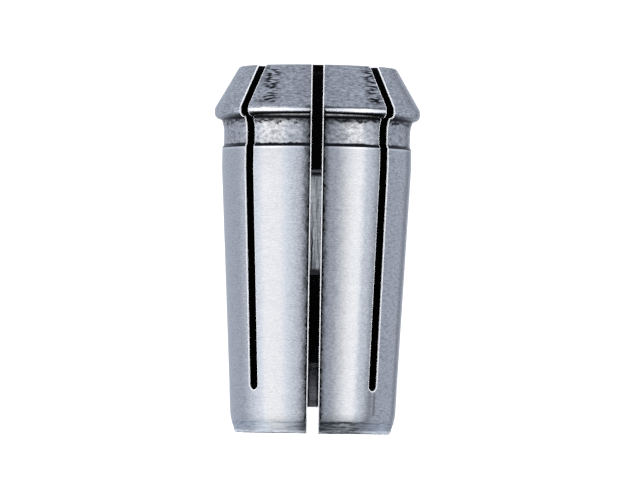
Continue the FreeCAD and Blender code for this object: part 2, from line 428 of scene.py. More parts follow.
# %% [markdown]
# Geometry Nodes put the eighths round the axis: eight points, one eighth on each, turned by its number
# times 45 degrees. The first is the split and the fifth holds the hinge. An Array modifier could turn
# copies too, but only copies that are all alike. After Realize Instances the seams between neighbours
# are merged, so the result is one closed skin with no walls inside.

# %% The tree
ring_tree = bpy.data.node_groups.new("eighths_round_the_axis", "GeometryNodeTree")
RING_INPUTS = [("Split eighth", "NodeSocketObject"), ("Slit eighth", "NodeSocketObject"),
               ("Hinge eighth", "NodeSocketObject"), ("Eighths", "NodeSocketInt"),
               ("Hinge place", "NodeSocketInt"), ("Spacing", "NodeSocketFloat"),
               ("Seam reach", "NodeSocketFloat"), ("Steel", "NodeSocketMaterial")]
ring_tree.interface.new_socket("Geometry", in_out="OUTPUT", socket_type="NodeSocketGeometry")
ring_inputs = {label: ring_tree.interface.new_socket(label, in_out="INPUT", socket_type=kind)
               for label, kind in RING_INPUTS}


def add_node(tree, kind, links=(), **settings):
    """Adds a node, applies its settings, and feeds its inputs from sockets or plain values."""
    node = tree.nodes.new(kind)
    for name, value in settings.items():
        setattr(node, name, value)
    for socket, source in links:
        if isinstance(source, bpy.types.NodeSocket):
            tree.links.new(source, node.inputs[socket])
        else:
            node.inputs[socket].default_value = source
    return node


given = add_node(ring_tree, "NodeGroupInput").outputs
points = add_node(ring_tree, "GeometryNodePoints", [("Count", given["Eighths"])])
index = add_node(ring_tree, "GeometryNodeInputIndex").outputs[0]
turn = add_node(ring_tree, "ShaderNodeMath", [(0, index), (1, given["Spacing"])], operation="MULTIPLY")
euler = add_node(ring_tree, "ShaderNodeCombineXYZ", [("Z", turn.outputs[0])])
rotation = add_node(ring_tree, "FunctionNodeEulerToRotation", [(0, euler.outputs[0])])


def equals(number, other):
    """A yes or no for each point: whether two whole numbers are the same."""
    compare = add_node(ring_tree, "FunctionNodeCompare", data_type="INT", operation="EQUAL")
    for socket, source in zip([s for s in compare.inputs if s.enabled], (number, other)):
        if isinstance(source, int):
            socket.default_value = source
        else:
            ring_tree.links.new(source, socket)
    return compare.outputs[0]


is_split = equals(index, 0)
is_hinge = equals(index, given["Hinge place"])
either = add_node(ring_tree, "FunctionNodeBooleanMath", [(0, is_split), (1, is_hinge)], operation="NOR")
joined = add_node(ring_tree, "GeometryNodeJoinGeometry")
for label, chosen in zip(eighths, (is_split, either.outputs[0], is_hinge)):
    source = add_node(ring_tree, "GeometryNodeObjectInfo", [("Object", given[label])])
    placed = add_node(ring_tree, "GeometryNodeInstanceOnPoints",
                      [("Points", points.outputs[0]), ("Selection", chosen),
                       ("Instance", source.outputs["Geometry"]), ("Rotation", rotation.outputs[0])])
    ring_tree.links.new(placed.outputs[0], joined.inputs[0])
real = add_node(ring_tree, "GeometryNodeRealizeInstances", [(0, joined.outputs[0])])
merged = add_node(ring_tree, "GeometryNodeMergeByDistance",
                  [("Geometry", real.outputs[0]), ("Distance", given["Seam reach"])])
painted = add_node(ring_tree, "GeometryNodeSetMaterial",
                   [("Geometry", merged.outputs[0]), ("Material", given["Steel"])])
add_node(ring_tree, "NodeGroupOutput", [(0, painted.outputs[0])])
print("nodes in the tree:", len(ring_tree.nodes))

# %% [markdown]
# The modifier's inputs are set by their identifiers before the object is looked at for the first time.
# The result is then copied to a plain mesh, because instances and modifiers would otherwise be lost or
# baked wrongly. The carrier and the three eighths go.

# %% Run the tree
EIGHTHS, HINGE_PLACE, SEAM_REACH = 8, 4, 1e-6
steel = bpy.data.materials.new("ground_taper")
carrier = bpy.data.objects.new("ring_carrier", bpy.data.meshes.new("ring_carrier"))
bpy.context.scene.collection.objects.link(carrier)
modifier = carrier.modifiers.new("eighths", "NODES")
modifier.node_group = ring_tree
ring_values = {**eighths, "Eighths": EIGHTHS, "Hinge place": HINGE_PLACE, "Spacing": EIGHTH,
               "Seam reach": SEAM_REACH, "Steel": steel}
for label, value in ring_values.items():
    modifier[ring_inputs[label].identifier] = value
bpy.context.view_layer.update()
looked_at = carrier.evaluated_get(bpy.context.evaluated_depsgraph_get())
skin = bpy.data.meshes.new_from_object(looked_at)
skin.name = "steel_collet"
collet = bpy.data.objects.new("steel_collet", skin)
bpy.context.scene.collection.objects.link(collet)
for spent in (carrier, *eighths.values()):
    bpy.data.objects.remove(spent)
print("vertices:", len(skin.vertices), "faces:", len(skin.polygons))

# %% [markdown]
# Shading is smooth across the facets of a round and crisp where two finishes meet at an angle. Shade
# Smooth by Angle knows only one angle, which would either facet the small rounds or smear the shallow
# steps. So every edge is tested here, for the fold between its two faces and for whether their finishes
# differ. An edge that has other than two faces would be a hole or an inner wall, so those are counted.

# %% Mark the crisp edges
FOLD_BETWEEN_FINISHES, FOLD_WITHIN_ONE = 5, 20


def crisp_edges(mesh):
    """Marks the crisp edges, and returns how many there are and how many edges lack two faces."""
    face_of_loop = np.repeat(np.arange(len(mesh.polygons)), [p.loop_total for p in mesh.polygons])
    edge_of_loop = np.zeros(len(mesh.loops), int)
    mesh.loops.foreach_get("edge_index", edge_of_loop)
    order = np.argsort(edge_of_loop, kind="stable")
    counts = np.bincount(edge_of_loop, minlength=len(mesh.edges))
    firsts = np.concatenate([[0], np.cumsum(counts)[:-1]])
    pair = counts == 2
    one = face_of_loop[order[firsts[pair]]]
    two = face_of_loop[order[firsts[pair] + 1]]
    normals = np.zeros(len(mesh.polygons) * 3)
    mesh.polygons.foreach_get("normal", normals)
    normals = normals.reshape(-1, 3)
    finish = np.zeros(len(mesh.polygons), int)
    mesh.attributes["finish"].data.foreach_get("value", finish)
    fold = np.degrees(np.arccos(np.clip((normals[one] * normals[two]).sum(axis=1), -1, 1)))
    same = finish[one] == finish[two]
    broken = same & (finish[one] == FINISHES.index("edge_break"))
    crisp = np.zeros(len(mesh.edges), bool)
    crisp[pair] = (~same & (fold > FOLD_BETWEEN_FINISHES)) | (same & ~broken & (fold > FOLD_WITHIN_ONE))
    sharp = mesh.attributes.new("sharp_edge", "BOOLEAN", "EDGE")
    sharp.data.foreach_set("value", crisp)
    mesh.polygons.foreach_set("use_smooth", np.ones(len(mesh.polygons), bool))
    return int(crisp.sum()), int((~pair).sum())


print("crisp edges and faulty edges:", crisp_edges(skin))

# %% [markdown]
# All of this is one steel, but each tool left its own surface. A picture of steel wrapped round the part
# could show that, but it would blur close up and break at its seam. So each material is built from the
# same few parts instead: a base colour that wavers a little, fine marks that run round the axis, and a
# shine that is stretched across those marks. The steps of arithmetic are wrapped in short functions,
# because a recipe of named steps is easier to read than a long list of nodes.

# %% Arithmetic in a node tree
def maths(tree, kind, *sources):
    """One step of arithmetic."""
    return add_node(tree, "ShaderNodeMath", list(enumerate(sources)), operation=kind).outputs[0]


def chain(tree, kind, first, *others):
    """The same step over any number of sources, one after another."""
    for other in others:
        first = maths(tree, kind, first, other)
    return first


def product(tree, *sources):
    """All the sources multiplied."""
    return chain(tree, "MULTIPLY", *sources)


def strongest(tree, *sources):
    """The highest of the sources."""
    return chain(tree, "MAXIMUM", *sources)


def between(tree, share, low, high):
    """The low number where the share is 0, and the high one where it is 1."""
    return maths(tree, "MULTIPLY_ADD", share, high - low, low)


print("arithmetic ready")

# %% [markdown]
# A mark is drawn where it lies: between two heights, between two angles, or both. Each limit is a slide
# from 0 to 1 and not a switch, because a hard limit would show as a cut line.

# %% Places and colours in a node tree
def slide(tree, source, start, end):
    """0 up to the start and 1 from the end on, straight between them."""
    limits = [("Value", source), ("From Min", start), ("From Max", end)]
    return add_node(tree, "ShaderNodeMapRange", limits).outputs[0]


def stretch(tree, source, ends):
    """1 in the middle of a stretch. Its four ends: where it begins, is full, begins to end, and is over."""
    return product(tree, slide(tree, source, ends[0], ends[1]), slide(tree, source, ends[3], ends[2]))


def patch(tree, angle, height, angles, heights, strength=1.0):
    """A patch that has its strength within a stretch of angle, or of place across, and one of height."""
    return product(tree, stretch(tree, angle, angles), stretch(tree, height, heights), strength)


def mix(tree, share, one, two, blend="MIX"):
    """From one colour to the other by the share."""
    node = add_node(tree, "ShaderNodeMix", data_type="RGBA", blend_type=blend)
    for socket, source in ((0, share), (6, one), (7, two)):
        if isinstance(source, bpy.types.NodeSocket):
            tree.links.new(source, node.inputs[socket])
        else:
            node.inputs[socket].default_value = (*source, 1) if isinstance(source, tuple) else source
    return node.outputs[2]


def coats(tree, base, *layers):
    """Lays colours over a base, one after another, each by its own share."""
    for share, colour in layers:
        base = mix(tree, share, base, colour)
    return base


def bearings(tree, vector):
    """The angle round the axis in degrees, 0 at the front and 90 at the right, and the three coordinates."""
    parts = add_node(tree, "ShaderNodeSeparateXYZ", [(0, vector)]).outputs
    turned = maths(tree, "ARCTAN2", parts["X"], maths(tree, "MULTIPLY", parts["Y"], -1.0))
    return maths(tree, "DEGREES", turned), parts


print("places and colours ready")

# %% [markdown]
# The marks of a tool come from a noise that is squeezed along the axis, so that every grain of it becomes
# a short streak round the axis. A streak is given by how many of it go to a millimetre, round the axis
# and along it. Heights are in millimetres above the tail face here too. Every finish reads Object
# coordinates, so its marks stay on the steel when the part is moved.

# %% Marks and shine
def streaks(tree, around, along, detail=3.0, seed=0.0):
    """Noise from 0 to 1 in grains this small."""
    place = add_node(tree, "ShaderNodeTexCoord").outputs["Object"]
    squeezed = add_node(tree, "ShaderNodeMapping", [("Vector", place), ("Location", (seed, seed, seed)),
                                                    ("Scale", (around / MM, around / MM, along / MM))])
    noise = add_node(tree, "ShaderNodeTexNoise", [("Vector", squeezed.outputs[0]), ("Scale", 1.0),
                                                  ("Detail", detail), ("Roughness", 0.6)])
    return slide(tree, noise.outputs["Fac"], 0.3, 0.7)


def wavered(tree, place, noise, reach):
    """A place that the noise moves by up to its reach, so that what is drawn there has a ragged edge."""
    return maths(tree, "MULTIPLY_ADD", noise, reach, place)


def place_on_part(tree):
    """The shaded point's angle in degrees, and in millimetres its height and its place to the right."""
    angle, metres = bearings(tree, add_node(tree, "ShaderNodeTexCoord").outputs["Object"])
    return angle, maths(tree, "DIVIDE", metres["Z"], MM), maths(tree, "DIVIDE", metres["X"], MM)


def new_finish(name, roughness, stretched, metallic=1.0):
    """A node material, and its shader with a shine that is stretched along the axis."""
    material = steel if name == steel.name else bpy.data.materials.new(name)
    material.use_nodes = True
    tree = material.node_tree
    shader = tree.nodes["Principled BSDF"]
    shader.inputs["Metallic"].default_value = metallic
    shader.inputs["Roughness"].default_value = roughness
    shader.inputs["Anisotropic"].default_value = stretched
    upright = add_node(tree, "ShaderNodeCombineXYZ", [("Z", 1.0)])
    tree.links.new(upright.outputs[0], shader.inputs["Tangent"])
    return material, tree, shader


def finish_shader(tree, shader, colour, *layers):
    """Gives the shader its colour and its raised marks: each is a height from 0 to 1 and its microns."""
    tree.links.new(colour, shader.inputs["Base Color"])
    normal = None
    for height, microns in layers:
        bump = add_node(tree, "ShaderNodeBump", [("Height", height), ("Distance", microns / 1e6)])
        if normal is not None:
            tree.links.new(normal, bump.inputs["Normal"])
        normal = bump.outputs[0]
    tree.links.new(normal, shader.inputs["Normal"])


PAINTED_HIGHLIGHT, PALE, GREY = (0.96, 0.965, 0.97), (0.72, 0.725, 0.735), (0.55, 0.56, 0.58)
DARK = (0.02, 0.021, 0.025)
print("marks and shine ready")

# %% [markdown]
# A thin ragged dark line along the split's two lips is a painted dark reflection of their rolled edges.
# The line crosses the taper, the groove and the collar, so it is one function that all three finishes
# call. It is measured sideways from the split and not as an angle, because the split's walls are flat.

# %% Painted dark reflection along the split
LIP_DARK_MIDDLE = 0.02
LIP_DARK_LIMITS = (1.1, 0.94)
LIP_DARK_RAGGED = 0.3
LIP_DARK_ANGLES = (-40, -30, 30, 40)


def lip_dark_reflection(tree, angle, across):
    """The painted dark reflection on both lips: full at the wall and over at the limits."""
    away = maths(tree, "ABSOLUTE", maths(tree, "SUBTRACT", across, LIP_DARK_MIDDLE))
    ragged = wavered(tree, away, streaks(tree, 1.5, 2.5, seed=12.0), LIP_DARK_RAGGED)
    return product(tree, slide(tree, ragged, *LIP_DARK_LIMITS), stretch(tree, angle, LIP_DARK_ANGLES))


# How far the painted dark reflection reaches from the wall.
print("painted dark reflection reaches", round(LIP_DARK_LIMITS[0] - SLIT_HALF, 3), "mm from the wall")

# %% [markdown]
# A grinding wheel leaves very fine marks round the axis, so the taper shines in long upright bands that
# are crisp sideways and soft upwards. The marks could be cut into the mesh, but they are a few microns
# deep, and a speckle of colour with a faint bump looks the same. In the two bands where the highlights
# fall the speckle is painted calmer, as painted highlight. The right flank is finely pitted, and a short
# trail of oil has run down from the end of the slit beside it. The land's top edge has a painted highlight.

# %% Ground steel
GROUND_LOW, GROUND_HIGH, PIT = (0.54, 0.55, 0.57), (0.84, 0.845, 0.85), (0.30, 0.31, 0.33)
HIGHLIGHT_BANDS = [(-44, -37, -19, -12), (13, 19, 30, 36)]
PITTED_ANGLES = (45, 49, 125, 135)
LAND_EDGE_HIGHLIGHT = (LAND_TOP - 0.3, LAND_TOP - 0.15, LAND_TOP + 0.1, LAND_TOP + 0.2)
TRAIL_ANGLES, TRAIL_HEIGHTS, TRAIL_STRENGTH = (45.0, 46.3, 47.3, 48.4), (1.9, 2.2, 4.2, 4.7), 0.5


def make_ground():
    """Fine speckle over faint clouds, calmed as painted highlight in two bands, with pits, a painted
    highlight on the top edge, a trail of oil and the painted dark reflection on the lips.
    """
    material, tree, shader = new_finish("ground_taper", roughness=0.27, stretched=0.93)
    angle, height, across = place_on_part(tree)
    speckle = streaks(tree, 3.2, 9.0, detail=0.5)
    hairs = streaks(tree, 0.5, 8.0, detail=1.0, seed=3.0)
    clouds = streaks(tree, 0.5, 0.9, seed=6.0)
    pits = slide(tree, streaks(tree, 1.7, 6.0, detail=1.0, seed=15.0), 0.5, 0.9)
    # Painted highlight: the speckle is calmed in the two bands where the highlights fall.
    banded = strongest(tree, *[stretch(tree, angle, band) for band in HIGHLIGHT_BANDS])
    contrast = between(tree, banded, 1.0, 0.4)
    calmed = maths(tree, "MULTIPLY_ADD", maths(tree, "SUBTRACT", speckle, 0.5), contrast, 0.5)
    trail = patch(tree, angle, height, TRAIL_ANGLES, TRAIL_HEIGHTS, TRAIL_STRENGTH)
    colour = coats(tree, mix(tree, calmed, GROUND_LOW, GROUND_HIGH),
                   (product(tree, hairs, 0.35), GROUND_HIGH),
                   (product(tree, clouds, 0.12), GREY),
                   (product(tree, pits, stretch(tree, angle, PITTED_ANGLES), 0.5), PIT),
                   # The land's top edge is a painted highlight, and the lips get a painted dark reflection.
                   (stretch(tree, height, LAND_EDGE_HIGHLIGHT), PAINTED_HIGHLIGHT),
                   (strongest(tree, trail, lip_dark_reflection(tree, angle, across)), DARK))
    finish_shader(tree, shader, colour, (clouds, 14.0), (hairs, 1.2))
    return material


finish_materials = {"ground": make_ground()}
print("ground_taper made")

# %% [markdown]
# The cone was turned, so its marks are coarser than the ground ones. Handling has left patches of short
# dark dashes on it that follow the tool's path. The collar has a few thin dark lines where its rounds
# begin: painted shade in the crease under it and painted dark reflections on its rounds. Both are places
# on the surface, so each is one row of a table: a patch has the angle of its middle, its half width and
# its strength, and a line has its angles, its heights and its strength.

# %% Dashed patches and collar shade lines
ALL_ROUND = (-999, -998, 998, 999)
DASHED = [(-31, 5, 1.0), (36, 4, 1.0), (112, 5, 0.7), (-158, 6, 0.8)]
DASHED_HEIGHTS, DASHED_MIDDLE, DASHED_LEAN = (35.5, 35.9, 39.8, 39.9), 37.5, 0.8
COLLAR_SHADE_LINES = [
    (ALL_ROUND, (34.1, 34.2, 34.33, 34.4), 0.9),
    ((-48, -38, 38, 48), (34.51, 34.57, 34.77, 34.85), 1.0),
    ((2, 6, 36, 42), (35.16, 35.24, 35.32, 35.4), 0.7),
]


def dashed_patches(tree, angle, height):
    """Short dashes in the listed patches, which lean by a few degrees as the cone narrows."""
    leaning = maths(tree, "MULTIPLY_ADD", height, DASHED_LEAN, -DASHED_LEAN * DASHED_MIDDLE)
    patches = []
    for middle, half, strength in DASHED:
        way = -1 if middle < 0 else 1
        shifted = maths(tree, "MULTIPLY_ADD", leaning, -way, angle)
        ends = (middle - 2 * half, middle - half / 2, middle + half / 2, middle + 2 * half)
        patches.append(patch(tree, shifted, height, ends, DASHED_HEIGHTS, strength))
    dashes = slide(tree, streaks(tree, 1.1, 5.5, detail=0.5, seed=9.0), 0.4, 0.65)
    return product(tree, dashes, strongest(tree, *patches))


print("dashed patches:", len(DASHED), "collar shade lines:", len(COLLAR_SHADE_LINES))

# %% [markdown]
# The cone and the collar share one recipe, because one tool cut them. The nut has rubbed the collar, so
# the collar alone also has a duller band round its front, and the painted dark reflection along the lips.
# Rubbed steel isn't less of a metal, but its fine scratches scatter light, and a lower Metallic value in
# the band gives that for less work than a rougher shine of its own.

# %% Turned steel
TURNED_LOW, TURNED_HIGH, TURNED_SPECKLE = (0.20, 0.21, 0.23), (0.90, 0.91, 0.93), (0.84, 0.85, 0.87)
BAND_ANGLES, BAND_HEIGHTS, BAND_COLOUR = (-50, -44, 44, 50), (34.84, 34.9, 35.08, 35.16), (0.68, 0.685, 0.70)


def make_turned(name, roughness, stretched, banded):
    """Turning marks, dashed patches and thin lines of painted shade, and on rubbed steel a dull band and the
    painted dark reflection along the lips.
    """
    material, tree, shader = new_finish(name, roughness, stretched)
    angle, height, across = place_on_part(tree)
    marks = streaks(tree, 2.0, 7.0, detail=2.0, seed=5.0)
    speckle = streaks(tree, 4.5, 7.0, detail=1.0, seed=1.0)
    colour = coats(tree, mix(tree, marks, TURNED_LOW, TURNED_HIGH),
                   (product(tree, speckle, 0.4), TURNED_SPECKLE))
    marks_and_painted_shade = [dashed_patches(tree, angle, height)]
    # The collar lines are painted shade under the collar and painted dark reflections on its rounds.
    marks_and_painted_shade += [patch(tree, angle, height, *row) for row in COLLAR_SHADE_LINES]
    if banded:
        marks_and_painted_shade.append(lip_dark_reflection(tree, angle, across))
        band = patch(tree, angle, height, BAND_ANGLES, BAND_HEIGHTS)
        colour = mix(tree, band, colour, BAND_COLOUR)
        tree.links.new(between(tree, band, 1.0, 0.55), shader.inputs["Metallic"])
    finish_shader(tree, shader, mix(tree, strongest(tree, *marks_and_painted_shade), colour, DARK), (marks, 1.5))
    return material


finish_materials["cone"] = make_turned("turned_cone", roughness=0.25, stretched=0.6, banded=False)
finish_materials["collar"] = make_turned("rubbed_collar", roughness=0.2, stretched=0.0, banded=True)
print("turned_cone and rubbed_collar made")

# %% [markdown]
# The nut's ring rubs in the groove. Its floor is mottled, and its two corners have painted shade: ragged
# blots and a dark band under the collar, and a thin wavy line along the shoulder. The lips of the split
# have their painted dark reflection here too. A plain dark stretch would look like a painted stripe, so the
# height is wavered by a noise before the stretch is drawn, and the blots have grains of their own.

# %% Rubbed groove
SHADE_BLOT_HEIGHTS, CORNER_SHADE_HEIGHTS = (34.05, 34.2, 35.3, 35.4), (33.9, 34.1, 34.3, 34.4)
FOOT_SHADE_HEIGHTS = (31.06, 31.14, 31.5, 31.62)
GROOVE_LOW, GROOVE_HIGH = (0.27, 0.28, 0.30), (0.84, 0.84, 0.85)


def make_groove():
    """Mottled floor with painted shade: blots under the collar and a wavy line at the foot."""
    material, tree, shader = new_finish("rubbed_groove", roughness=0.27, stretched=0.8)
    angle, height, across = place_on_part(tree)
    mottle = streaks(tree, 1.8, 3.0, detail=4.0, seed=1.0)
    grains = slide(tree, streaks(tree, 1.4, 3.0, detail=3.0, seed=4.0), 0.3, 0.6)
    ragged = wavered(tree, height, streaks(tree, 0.9, 1.5, detail=4.0, seed=3.0), 0.9)
    waved = wavered(tree, height, streaks(tree, 1.1, 0.2, seed=7.0), 0.2)
    # Painted shade in both corners: blots and a band under the collar, and a wavy line at the foot.
    shade_blots = product(tree, stretch(tree, ragged, SHADE_BLOT_HEIGHTS), between(tree, grains, 0.35, 0.95))
    marks_and_painted_shade = strongest(tree, shade_blots, stretch(tree, height, CORNER_SHADE_HEIGHTS), stretch(tree, waved, FOOT_SHADE_HEIGHTS),
                     lip_dark_reflection(tree, angle, across))
    colour = mix(tree, marks_and_painted_shade, mix(tree, mottle, GROOVE_LOW, GROOVE_HIGH), DARK)
    finish_shader(tree, shader, colour, (mottle, 8.0))
    return material


finish_materials["groove"] = finish_materials["shoulder"] = make_groove()
print("rubbed_groove made")

# %% [markdown]
# The chamfer at the tail was turned quickly, with coarse streaks, and nothing rubs on it. Where the taper
# begins, the tool left a ragged dark double line that is strongest to the right of the split. The lowest
# half millimetre is duller than the rest. Beside the split the chamfer is darker, in streaks, most on its
# right. One tree makes all of it, since the streaks that colour the chamfer also decide where it is darker.

# %% Turned chamfer
CHAMFER_LOW, CHAMFER_HIGH, CHAMFER_SPECKLE = (0.36, 0.39, 0.43), (0.84, 0.88, 0.93), (0.86, 0.90, 0.94)
DOUBLE_LINE = [(1.62, 1.72, 1.82, 1.92), (1.22, 1.3, 1.38, 1.46)]
DARKER_RIGHT, DARKER_LEFT, LEFT_STRENGTH = (2, 6, 34, 42), (-14, -8, -2, 0), 0.6
DULL_FOOT = (0.45, 0.2)


def make_chamfer():
    """Coarse streaks under a ragged double line, darker in streaks on both sides of the split."""
    material, tree, shader = new_finish("turned_chamfer", roughness=0.3, stretched=0.6)
    angle, height, _ = place_on_part(tree)
    marks = streaks(tree, 0.8, 7.0, detail=3.0, seed=2.0)
    speckle = streaks(tree, 4.0, 6.0, detail=1.0, seed=8.0)
    wave = wavered(tree, height, streaks(tree, 0.8, 1.5, seed=11.0), 0.3)
    lines = strongest(tree, *[stretch(tree, wave, ends) for ends in DOUBLE_LINE])
    # Darker beside the split, most on its right, in streaks.
    sides = strongest(tree, stretch(tree, angle, DARKER_RIGHT),
                      product(tree, stretch(tree, angle, DARKER_LEFT), LEFT_STRENGTH))
    ragged = product(tree, lines, between(tree, sides, 0.25, 0.85))
    darker_beside_split = product(tree, sides, between(tree, slide(tree, marks, 0.7, 0.3), 0.3, 0.8))
    colour = coats(tree, mix(tree, marks, CHAMFER_LOW, CHAMFER_HIGH),
                   (product(tree, speckle, 0.3), CHAMFER_SPECKLE),
                   (strongest(tree, ragged, darker_beside_split), DARK))
    tree.links.new(between(tree, slide(tree, height, *DULL_FOOT), 1.0, 0.4), shader.inputs["Metallic"])
    finish_shader(tree, shader, colour, (marks, 5.0))
    return material


finish_materials["tail_chamfer"] = make_chamfer()
print("turned_chamfer made")

# %% [markdown]
# The bore is wider between its two grip lands. This relief touches no shank, so it is left rough and
# scatters light. Seen through the split it has upright runs of oil, a step at its top painted grey as
# shade with painted shade under it, painted shade at its foot, and a dark wavy line low down. A lamp inside
# the bore could light it, but a pale wall with little of a mirror's shine catches enough of the room's
# light by itself.

# %% Rough relief
RELIEF_LOW, RELIEF_HIGH, RELIEF_RUN = (0.53, 0.56, 0.63), (0.92, 0.95, 1.0), (0.16, 0.17, 0.19)
SHADED_STEP_HEIGHTS, SHADED_STEP_COLOUR = (28.84, 28.9, 29.1, 29.2), (0.3, 0.31, 0.33)
SHADE_HEIGHTS, FOOT_SHADE = (28.25, 28.6, 28.8, 28.88), (18.3, 18.0)
DARK_LINE_ANGLES, DARK_LINE_TOP = (-176.9, -176.3, -175.3, -174.7), (24.0, 21.0)


def make_relief():
    """A rough wall with upright runs of oil, a step at its top painted grey as shade and a dark wavy line
    opposite the split.
    """
    material, tree, shader = new_finish("rough_relief", roughness=0.6, stretched=0.3, metallic=0.2)
    angle, height, _ = place_on_part(tree)
    marks = streaks(tree, 1.2, 5.0, seed=4.0)
    runs = slide(tree, streaks(tree, 3.5, 0.25, detail=2.0, seed=14.0), 0.4, 0.8)
    wave = wavered(tree, angle, streaks(tree, 0.1, 0.7, detail=3.0, seed=17.0), 1.6)
    dark_line = product(tree, stretch(tree, wave, DARK_LINE_ANGLES), slide(tree, height, *DARK_LINE_TOP))
    shade = strongest(tree, stretch(tree, height, SHADE_HEIGHTS), slide(tree, height, *FOOT_SHADE))
    # The step is painted grey as shade, and the shade under it and at the foot is painted shade.
    colour = coats(tree, mix(tree, marks, RELIEF_LOW, RELIEF_HIGH),
                   (product(tree, runs, 0.75), RELIEF_RUN),
                   (stretch(tree, height, SHADED_STEP_HEIGHTS), SHADED_STEP_COLOUR),
                   (strongest(tree, shade, dark_line), DARK))
    finish_shader(tree, shader, colour, (marks, 20.0))
    return material


finish_materials["relief"] = make_relief()
print("rough_relief made")

# %% [markdown]
# The two grip lands are honed, and are painted nearly black as painted shade of the unlit bore. The wall
# at the tail is painted nearly black too. Low down, opposite the split, it has a painted streak of light
# that comes in at the tail, dimmed by painted shade at the tail's corner. Both are one recipe, and only
# their shine differs: a land is a mirror of dark steel, and the tail bore isn't honed.

# %% Bore in painted shade
SHADED_BORE_LOW, SHADED_BORE_HIGH, STREAK_COLOUR = (0.012, 0.012, 0.015), (0.03, 0.03, 0.035), (0.62, 0.63, 0.72)
STREAK_ACROSS, STREAK_HEIGHTS, STREAK_FADE = (-0.5, -0.3, 0.25, 0.45), (12.0, 4.4), 3.0
TAIL_CORNER_SHADE = (3.3, 3.45, 3.65, 3.8)
BORE_STRETCHED = 0.3


def make_bore(name, roughness, metallic):
    """A wall painted nearly black as shade, but for a painted streak of light low down and opposite the
    split.
    """
    material, tree, shader = new_finish(name, roughness, BORE_STRETCHED, metallic)
    _, height, across = place_on_part(tree)
    marks = streaks(tree, 1.2, 5.0, seed=4.0)
    # The near-black base is painted shade; the streak is painted light, dimmed by painted shade at the tail
    # corner.
    low = maths(tree, "POWER", slide(tree, height, *STREAK_HEIGHTS), STREAK_FADE)
    clear = between(tree, strongest(tree, stretch(tree, height, TAIL_CORNER_SHADE), marks), 1.0, 0.4)
    streak = product(tree, stretch(tree, across, STREAK_ACROSS), low, clear)
    colour = mix(tree, streak, mix(tree, marks, SHADED_BORE_LOW, SHADED_BORE_HIGH), STREAK_COLOUR)
    finish_shader(tree, shader, colour, (marks, 2.0))
    return material


honed = make_bore("honed_land", roughness=0.25, metallic=0.97)
tail_bore = make_bore("tail_bore", roughness=0.5, metallic=0.3)
finish_materials.update(honed=honed, lead=honed, tail_bore=tail_bore, tail_mouth=tail_bore)
print("honed_land and tail_bore made")

# %% [markdown]
# The walls of the openings are sawn, and are painted nearly black as painted shade. The two end faces
# are plainly turned. Every sawn edge has a small polished round that catches the light as a thin line. On
# the inner lips of the two slits beside the split the line also has a painted highlight. The line could be
# painted on the flat faces, but a real round keeps it thin and bright from any side.

# %% Walls, rings and edges
SHADED_WALL_LOW, SHADED_WALL_HIGH = (0.006, 0.006, 0.008), (0.02, 0.02, 0.024)
EDGE_LOW, EDGE_HIGH, LIP_HIGHLIGHT_ANGLES = (0.56, 0.565, 0.575), (0.68, 0.685, 0.69), (20, 25, 44.5, 45.5)
PLAIN_STRETCHED = 0.3


def make_plain(name, low, high, roughness, metallic=1.0, highlight_lips=None):
    """Fine marks round the axis between two colours, with a painted highlight on the lips where their angles
    are given.
    """
    material, tree, shader = new_finish(name, roughness, PLAIN_STRETCHED, metallic)
    marks = streaks(tree, 1.2, 5.0, seed=4.0)
    colour = mix(tree, marks, low, high)
    if highlight_lips:
        side = maths(tree, "ABSOLUTE", place_on_part(tree)[0])
        colour = mix(tree, stretch(tree, side, highlight_lips), colour, PAINTED_HIGHLIGHT)
    finish_shader(tree, shader, colour, (marks, 2.0))
    return material


# The walls are painted nearly black as shade, and the lips listed by their angles get a painted highlight.
sawn_in_shade = make_plain("sawn_wall_in_shade", SHADED_WALL_LOW, SHADED_WALL_HIGH, roughness=0.5)
faced = make_plain("faced_ring", GREY, PALE, roughness=0.3)
edge = make_plain("polished_edge", EDGE_LOW, EDGE_HIGH, roughness=0.25, metallic=0.4,
                  highlight_lips=LIP_HIGHLIGHT_ANGLES)
finish_materials.update(slit_wall=sawn_in_shade, slit_end=sawn_in_shade, nose_face=faced, tail_face=faced, edge_break=edge)
print("finishes without a material:", sorted(set(FINISHES) - set(finish_materials)))

# %% [markdown]
# Each face already carries its finish as a number, so giving it a material is a matter of looking the
# number up. It is quicker and safer than choosing faces by their place, which a moved corner would upset.

# %% Give each face its material
def dress(mesh):
    """Gives every face the material of its finish, and returns how many materials there are."""
    numbers = np.zeros(len(mesh.polygons), int)
    mesh.attributes["finish"].data.foreach_get("value", numbers)
    kinds = list(dict.fromkeys(finish_materials.values()))
    mesh.materials.clear()
    for material in kinds:
        mesh.materials.append(material)
    slots = np.array([kinds.index(finish_materials[finish]) for finish in FINISHES])
    mesh.polygons.foreach_set("material_index", slots[numbers])
    mesh.update()
    return len(kinds)


print("materials on the collet:", dress(skin))

# %% [markdown]
# The collet stands on a plain pale sheet, one metre to each side. It isn't part of the object. Polished
# steel would show its far edge as a line, so it stays out of the mirror images, and a grey table in the
# studio's light takes its place there.

